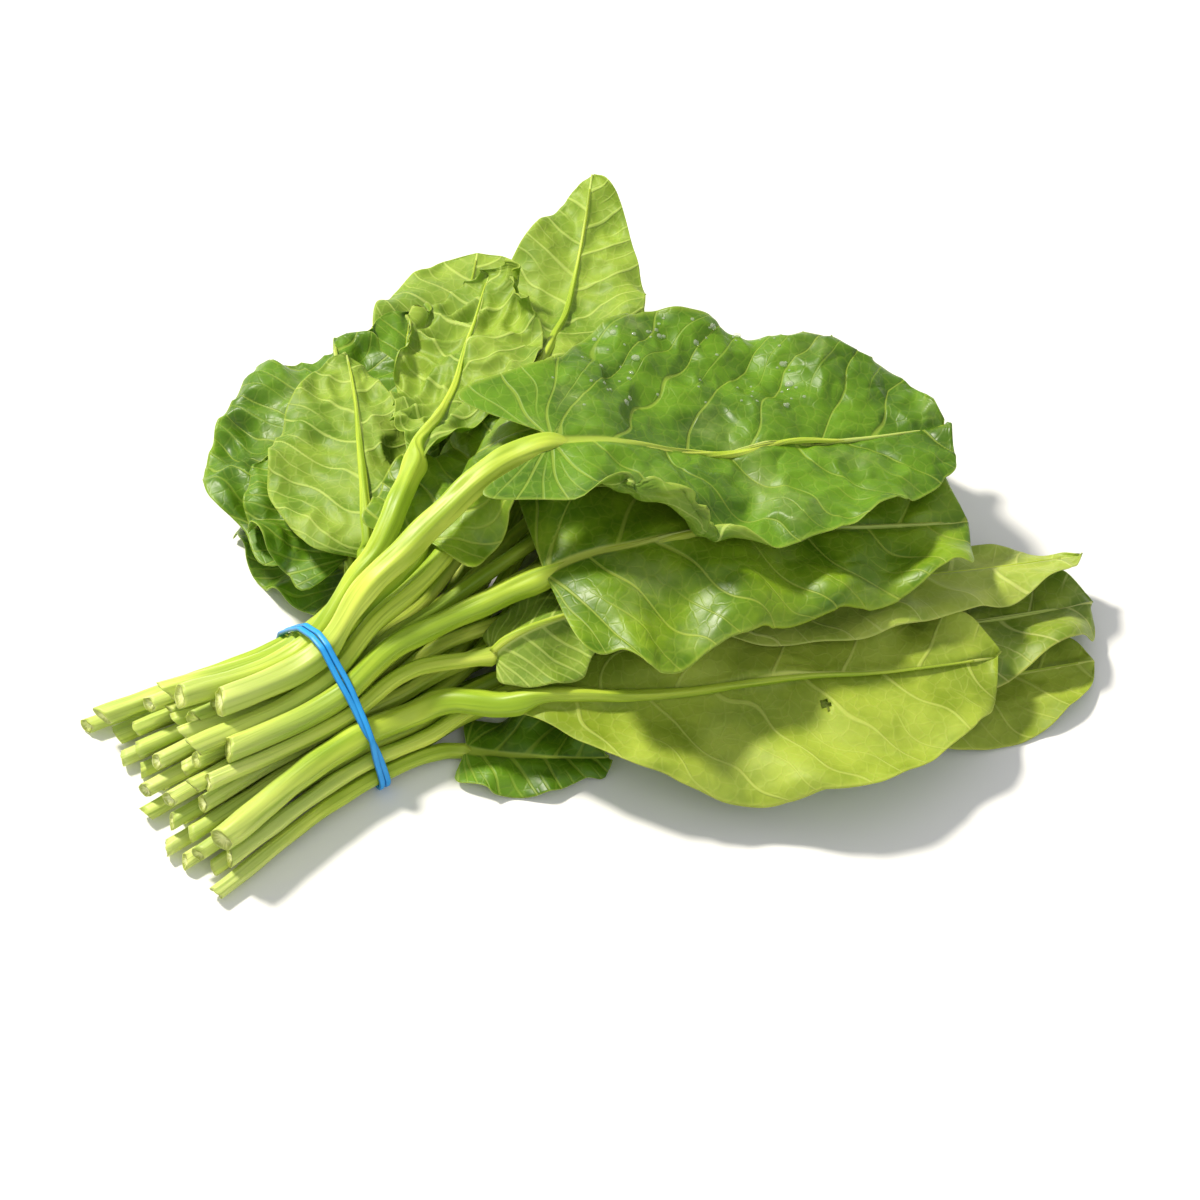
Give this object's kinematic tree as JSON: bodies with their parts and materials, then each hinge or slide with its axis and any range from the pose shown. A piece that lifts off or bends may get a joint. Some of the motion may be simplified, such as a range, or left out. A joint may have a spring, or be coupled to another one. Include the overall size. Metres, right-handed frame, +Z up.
{
  "type": "spinach bunch",
  "caption": "Bunch of fresh spinach lying on its side: fleshy stems tied with a doubled rubber band, with broad lobed leaves fanned out beyond it.",
  "frame": {"origin": "on the surface that the bunch lies on, under the middle of its bounding box", "axes": "+Z up from the surface, +X along the tied stems from the cut ends to the leaves, +Y to the left of that"},
  "size_m": [0.299, 0.2902, 0.0768],
  "materials": {
    "leaf_upper": "waxy, slightly glossy upper side of a leaf, on a paler stem",
    "leaf_underside": "matt pale underside of a leaf, on a paler stem",
    "rubber_band": "satin blue rubber"
  },
  "bodies": {
    "root": {"low_right_leaf": "leaf_upper", "far_right_leaf": "leaf_underside", "inner_leaf_01": "leaf_upper", "inner_leaf_02": "leaf_upper", "inner_leaf_03": "leaf_upper", "inner_leaf_16": "leaf_upper", "inner_leaf_14": "leaf_upper", "inner_leaf_17": "leaf_upper", "inner_leaf_20": "leaf_upper", "back_yellow_leaf": "leaf_underside", "low_left_leaf": "leaf_upper", "right_lobed_leaf": "leaf_upper", "inner_leaf_04": "leaf_upper", "inner_leaf_05": "leaf_upper", "back_right_leaf": "leaf_upper", "inner_leaf_06": "leaf_upper", "back_curled_leaf": "leaf_upper", "inner_leaf_07": "leaf_upper", "inner_leaf_18": "leaf_upper", "inner_leaf_15": "leaf_upper", "left_dark_leaf": "leaf_upper", "broad_pale_leaf": "leaf_underside", "right_pale_leaf": "leaf_underside", "inner_leaf_08": "leaf_underside", "inner_leaf_09": "leaf_upper", "inner_leaf_10": "leaf_upper", "back_dark_leaf": "leaf_upper", "inner_leaf_11": "leaf_underside", "left_ruffled_leaf": "leaf_upper", "rolled_leaf": "leaf_underside", "inner_leaf_12": "leaf_upper", "inner_leaf_19": "leaf_underside", "inner_leaf_13": "leaf_underside", "back_upright_leaf": "leaf_underside", "left_pale_leaf": "leaf_underside", "right_dark_leaf": "leaf_upper", "top_second_leaf": "leaf_upper", "centre_glossy_leaf": "leaf_upper", "left_crinkled_leaf": "leaf_underside", "top_broad_leaf": "leaf_upper", "rubber_band": "rubber_band"}
  },
  "joints": []
}
